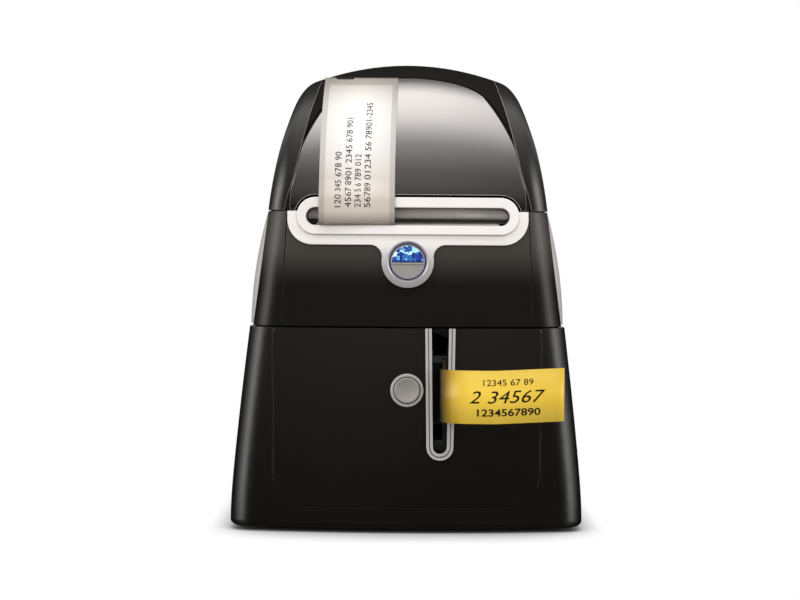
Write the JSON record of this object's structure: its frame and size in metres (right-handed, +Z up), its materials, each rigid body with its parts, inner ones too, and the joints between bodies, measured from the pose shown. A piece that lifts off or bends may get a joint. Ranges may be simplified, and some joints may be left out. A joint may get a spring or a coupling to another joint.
{
  "type": "label printer",
  "caption": "Desktop twin label printer: a domed hinged cover over a roll-label printer, and a drawer below it with a tape-label printer and a side slot.",
  "frame": {"origin": "middle of the bounding box on the surface that the machine stands on", "axes": "+Z up, the front with both paper exits towards -Y, +X to the right as seen from the front"},
  "size_m": [0.1332, 0.1879, 0.1808],
  "materials": {
    "black_gloss_plastic": "moulded high-gloss black ABS",
    "cheek_plastic": "moulded high-gloss brown-black ABS",
    "window_plastic": "polished smoked plastic",
    "silver_plastic": "silver painted, satin",
    "grey_panel": "light grey paint, fine satin",
    "trim_metal": "satin bright trim",
    "button_grey": "satin grey",
    "blue_lens": "clear lit blue lens",
    "yellow_tape": "satin yellow laminated tape",
    "label_paper": "white label on grey liner",
    "inner_plastic": "moulded black plastic",
    "grey_plastic": "moulded mid-grey plastic",
    "gear_plastic": "natural acetal",
    "sheet_steel": "zinc plated sheet",
    "bright_steel": "ground steel",
    "brass_bush": "sintered bronze",
    "black_rubber": "moulded rubber",
    "board_green": "printed circuit board",
    "ceramic_head": "glazed ceramic on aluminium"
  },
  "bodies": {
    "base": {"base_plate": "inner_plastic", "base_shell": "black_gloss_plastic", "rubber_feet": "black_rubber", "case_screws": "bright_steel", "drawer_rails": "grey_plastic", "tray_catch": "grey_plastic", "main_board": "board_green", "usb_socket": "bright_steel", "power_jack": "inner_plastic", "housing_shell": "black_gloss_plastic", "front_fascia": "black_gloss_plastic", "side_panel_left": "grey_panel", "side_panel_right": "grey_panel", "hinge_pins": "bright_steel", "front_bezel": "silver_plastic", "tear_bar": "bright_steel", "feed_switch": "board_green", "chassis_plate": "sheet_steel", "mechanism_frame": "sheet_steel", "platen_bushes": "brass_bush", "idler_axle": "bright_steel", "head_pivot_rod": "bright_steel", "feed_motor": "sheet_steel", "label_cradle": "inner_plastic", "label_strip": "label_paper"},
    "cover": {"cover_shell": "black_gloss_plastic", "cover_window": "window_plastic", "cover_cheek_left": "cheek_plastic", "cover_cheek_right": "cheek_plastic"},
    "feed_button": {"feed_button_cap": "button_grey", "feed_button_lens": "blue_lens"},
    "drawer": {"drawer_front": "black_gloss_plastic", "drawer_tray": "inner_plastic", "slot_trim": "trim_metal", "eject_button_ring": "trim_metal", "eject_switch": "inner_plastic", "tape_cassette": "grey_plastic", "tape_strip": "yellow_tape", "tape_print_head": "inner_plastic", "tape_motor": "sheet_steel", "cutter_frame": "sheet_steel"},
    "eject_button": {"eject_button_cap": "button_grey"},
    "tape_reel_body": {"tape_reel": "yellow_tape"},
    "ribbon_reel_body": {"ribbon_reel": "gear_plastic"},
    "tape_roller_body": {"tape_roller": "black_rubber"},
    "cutter": {"cutter_blade": "bright_steel"},
    "spool": {"label_spool": "inner_plastic", "label_roll": "label_paper"},
    "spool_guide_body": {"spool_guide": "grey_plastic"},
    "platen": {"platen_shaft": "bright_steel", "platen_rubber": "black_rubber", "platen_gear": "gear_plastic"},
    "idler": {"idler_gear": "gear_plastic"},
    "motor_rotor": {"motor_pinion": "brass_bush"},
    "print_head": {"head_bracket": "sheet_steel", "thermal_head": "ceramic_head"},
    "release_lever_body": {"release_lever": "grey_plastic"},
    "label_guide_body": {"label_guide": "grey_plastic"}
  },
  "joints": [
    {"name": "cover_hinge", "type": "hinge", "parent": "base", "child": "cover", "pos_m": [0, 0.091, 0.1206], "axis": [-1, 0, 0], "range_deg": [0, 90], "deforming": ["label_strip"]},
    {"name": "feed_button_press", "type": "slide", "parent": "base", "child": "feed_button", "axis": [0, 1, 0], "range_m": [0, 0.0012], "stiffness_N_per_m": 300},
    {"name": "drawer_slide", "type": "slide", "parent": "base", "child": "drawer", "axis": [0, -1, 0], "range_m": [0, 0.075]},
    {"name": "eject_button_press", "type": "slide", "parent": "drawer", "child": "eject_button", "axis": [0, 1, 0], "range_m": [0, 0.0015], "stiffness_N_per_m": 300},
    {"name": "tape_reel_spin", "type": "hinge", "parent": "drawer", "child": "tape_reel_body", "pos_m": [-0.016, -0.018, 0.05], "axis": [0, 0, 1], "continuous": true},
    {"name": "ribbon_reel_spin", "type": "hinge", "parent": "drawer", "child": "ribbon_reel_body", "pos_m": [0.019, -0.016, 0.05], "axis": [0, 0, 1], "continuous": true},
    {"name": "tape_roller_spin", "type": "hinge", "parent": "drawer", "child": "tape_roller_body", "pos_m": [0.0169, -0.056, 0.05], "axis": [0, 0, 1], "continuous": true},
    {"name": "cutter_slide", "type": "slide", "parent": "drawer", "child": "cutter", "axis": [1, 0, 0], "range_m": [0, 0.003]},
    {"name": "spool_spin", "type": "hinge", "parent": "base", "child": "spool", "pos_m": [0, 0.024, 0.126], "axis": [1, 0, 0], "continuous": true},
    {"name": "spool_guide_slide", "type": "slide", "parent": "spool", "child": "spool_guide_body", "axis": [1, 0, 0], "range_m": [0, 0.03]},
    {"name": "platen_spin", "type": "hinge", "parent": "base", "child": "platen", "pos_m": [0, -0.054, 0.1085], "axis": [1, 0, 0], "continuous": true},
    {"name": "idler_spin", "type": "hinge", "parent": "base", "child": "idler", "pos_m": [0, -0.045, 0.09778], "axis": [1, 0, 0], "continuous": true},
    {"name": "motor_spin", "type": "hinge", "parent": "base", "child": "motor_rotor", "pos_m": [0, -0.03316, 0.09347], "axis": [1, 0, 0], "continuous": true},
    {"name": "head_lift", "type": "hinge", "parent": "base", "child": "print_head", "pos_m": [0, -0.04, 0.122], "axis": [-1, 0, 0], "range_deg": [0, 8]},
    {"name": "release_lever_turn", "type": "hinge", "parent": "base", "child": "release_lever_body", "pos_m": [0, -0.04, 0.122], "axis": [-1, 0, 0], "range_deg": [0, 40]},
    {"name": "label_guide_slide", "type": "slide", "parent": "base", "child": "label_guide_body", "axis": [1, 0, 0], "range_m": [0, 0.03]}
  ],
  "couplings": [
    {"joint": "idler_spin", "follows": "platen_spin", "ratio": -2.3333},
    {"joint": "motor_spin", "follows": "platen_spin", "ratio": 6.0667},
    {"joint": "release_lever_turn", "follows": "head_lift", "ratio": 5}
  ]
}
